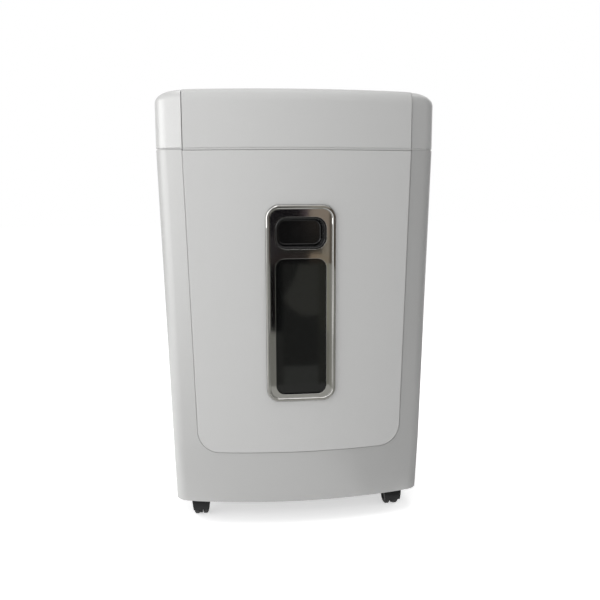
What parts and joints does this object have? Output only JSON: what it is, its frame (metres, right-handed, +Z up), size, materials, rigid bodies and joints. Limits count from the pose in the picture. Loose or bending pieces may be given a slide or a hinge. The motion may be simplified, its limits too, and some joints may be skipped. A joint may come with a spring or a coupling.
{
  "type": "paper shredder",
  "caption": "Floor-standing office paper shredder: a rounded head with cross-cut block, gear train and motor over a tapering cabinet with pull-out waste bin and casters.",
  "frame": {"origin": "on the floor under the middle of the machine's width and depth", "axes": "+Z up; +X to the right as seen from the front, where the door is; +Y from the front to the back"},
  "size_m": [0.39, 0.3, 0.62],
  "materials": {
    "shell_paint": "satin",
    "cap_plastic": "fine texture",
    "door_plastic": "fine texture",
    "chrome_trim": "mirror plated",
    "black_plastic": "moulded",
    "gloss_black": "gloss",
    "rocker_plastic": "gloss",
    "smoke_window": "smoked, clear",
    "bin_plastic": "moulded",
    "nylon": "natural",
    "plated_steel": "zinc plated",
    "hardened_steel": "hardened and oiled",
    "gear_steel": "sintered",
    "bronze": "sintered bronze",
    "motor_steel": "pressed",
    "board": "solder mask",
    "capacitor_can": "drawn",
    "lens": "clear tinted",
    "grey_button": "satin",
    "red_plastic": "satin",
    "caster_plastic": "moulded",
    "caster_tread": "tread"
  },
  "bodies": {
    "cabinet": {"cabinet_shell": "shell_paint", "base_tray": "black_plastic", "bin_shelf": "shell_paint", "bin_guides": "nylon", "chassis_screws": "plated_steel", "head_tray": "black_plastic", "head_centre_cover": "door_plastic", "head_cap_left": "cap_plastic", "head_cap_right": "cap_plastic", "feed_throat": "black_plastic", "control_panel": "gloss_black", "indicator_lenses": "lens", "button_board": "board", "side_plate_left": "plated_steel", "side_plate_right": "plated_steel", "tie_rods": "plated_steel", "shaft_bushings": "bronze", "comb_front": "nylon", "comb_rear": "nylon", "compound_post": "plated_steel", "motor_housing": "motor_steel", "power_board": "board", "run_capacitor": "capacitor_can", "interlock_switch": "black_plastic", "rocker_housing": "black_plastic", "cord_gland": "black_plastic", "caster_sockets": "nylon"},
    "drawer": {"door_panel": "door_plastic", "window_bezel": "chrome_trim", "handle_pocket": "gloss_black", "window_pane": "smoke_window", "bezel_backing": "black_plastic", "bin_tub": "bin_plastic", "bezel_screws": "plated_steel"},
    "cutter_rear": {"shaft_rear": "hardened_steel", "cutters_rear": "hardened_steel", "spacers_rear": "plated_steel", "sync_gear_rear": "gear_steel", "drive_gear": "gear_steel"},
    "cutter_front": {"shaft_front": "hardened_steel", "cutters_front": "hardened_steel", "spacers_front": "plated_steel", "sync_gear_front": "gear_steel"},
    "compound": {"compound_gear": "nylon"},
    "rotor": {"motor_rotor": "hardened_steel", "motor_fan": "black_plastic"},
    "plunger": {"interlock_plunger": "red_plastic"},
    "start_key": {"button_start": "grey_button"},
    "stop_key": {"button_stop": "red_plastic"},
    "reverse_key": {"button_reverse": "grey_button"},
    "rocker": {"rocker_key": "rocker_plastic"},
    "swivel_fl": {"caster_fl_swivel": "caster_plastic"},
    "wheels_fl": {"caster_fl_wheels": "caster_tread"},
    "swivel_fr": {"caster_fr_swivel": "caster_plastic"},
    "wheels_fr": {"caster_fr_wheels": "caster_tread"},
    "swivel_bl": {"caster_bl_swivel": "caster_plastic"},
    "wheels_bl": {"caster_bl_wheels": "caster_tread"},
    "swivel_br": {"caster_br_swivel": "caster_plastic"},
    "wheels_br": {"caster_br_wheels": "caster_tread"}
  },
  "joints": [
    {"name": "drawer_slide", "type": "slide", "parent": "cabinet", "child": "drawer", "axis": [0, -1, 0], "range_m": [0, 0.24]},
    {"name": "cutter_rear_spin", "type": "hinge", "parent": "cabinet", "child": "cutter_rear", "pos_m": [0, 0.03, 0.56], "axis": [1, 0, 0], "continuous": true},
    {"name": "cutter_front_spin", "type": "hinge", "parent": "cabinet", "child": "cutter_front", "pos_m": [0, 0, 0.56], "axis": [1, 0, 0], "continuous": true},
    {"name": "compound_spin", "type": "hinge", "parent": "cabinet", "child": "compound", "pos_m": [0.147, 0.06782, 0.56951], "axis": [1, 0, 0], "continuous": true},
    {"name": "rotor_spin", "type": "hinge", "parent": "cabinet", "child": "rotor", "pos_m": [0.08, 0.096, 0.556], "axis": [1, 0, 0], "continuous": true},
    {"name": "plunger_slide", "type": "slide", "parent": "cabinet", "child": "plunger", "axis": [0, -1, 0], "range_m": [0, 0.0024]},
    {"name": "start_press", "type": "slide", "parent": "cabinet", "child": "start_key", "axis": [0, 0, -1], "range_m": [0, 0.0012], "stiffness_N_per_m": 600, "springref_m": -0.0004},
    {"name": "stop_press", "type": "slide", "parent": "cabinet", "child": "stop_key", "axis": [0, 0, -1], "range_m": [0, 0.0012], "stiffness_N_per_m": 600, "springref_m": -0.0004},
    {"name": "reverse_press", "type": "slide", "parent": "cabinet", "child": "reverse_key", "axis": [0, 0, -1], "range_m": [0, 0.0012], "stiffness_N_per_m": 600, "springref_m": -0.0004},
    {"name": "rocker_tilt", "type": "hinge", "parent": "cabinet", "child": "rocker", "pos_m": [-0.108, 0.1415, 0.573], "axis": [1, 0, 0], "range_deg": [0, 16]},
    {"name": "caster_fl_swivel_turn", "type": "hinge", "parent": "cabinet", "child": "swivel_fl", "pos_m": [-0.146, -0.092, 0.06], "axis": [0, 0, 1], "continuous": true},
    {"name": "caster_fl_wheel_spin", "type": "hinge", "parent": "swivel_fl", "child": "wheels_fl", "pos_m": [-0.146, -0.082, 0.018], "axis": [1, 0, 0], "continuous": true},
    {"name": "caster_fr_swivel_turn", "type": "hinge", "parent": "cabinet", "child": "swivel_fr", "pos_m": [0.146, -0.092, 0.06], "axis": [0, 0, 1], "continuous": true},
    {"name": "caster_fr_wheel_spin", "type": "hinge", "parent": "swivel_fr", "child": "wheels_fr", "pos_m": [0.146, -0.082, 0.018], "axis": [1, 0, 0], "continuous": true},
    {"name": "caster_bl_swivel_turn", "type": "hinge", "parent": "cabinet", "child": "swivel_bl", "pos_m": [-0.146, 0.112, 0.06], "axis": [0, 0, 1], "continuous": true},
    {"name": "caster_bl_wheel_spin", "type": "hinge", "parent": "swivel_bl", "child": "wheels_bl", "pos_m": [-0.146, 0.122, 0.018], "axis": [1, 0, 0], "continuous": true},
    {"name": "caster_br_swivel_turn", "type": "hinge", "parent": "cabinet", "child": "swivel_br", "pos_m": [0.146, 0.112, 0.06], "axis": [0, 0, 1], "continuous": true},
    {"name": "caster_br_wheel_spin", "type": "hinge", "parent": "swivel_br", "child": "wheels_br", "pos_m": [0.146, 0.122, 0.018], "axis": [1, 0, 0], "continuous": true}
  ],
  "couplings": [
    {"joint": "cutter_front_spin", "follows": "cutter_rear_spin", "ratio": -1},
    {"joint": "compound_spin", "follows": "cutter_rear_spin", "ratio": -3.3333},
    {"joint": "rotor_spin", "follows": "cutter_rear_spin", "ratio": 13.333},
    {"joint": "plunger_slide", "follows": "drawer_slide", "ratio": 0.01}
  ]
}
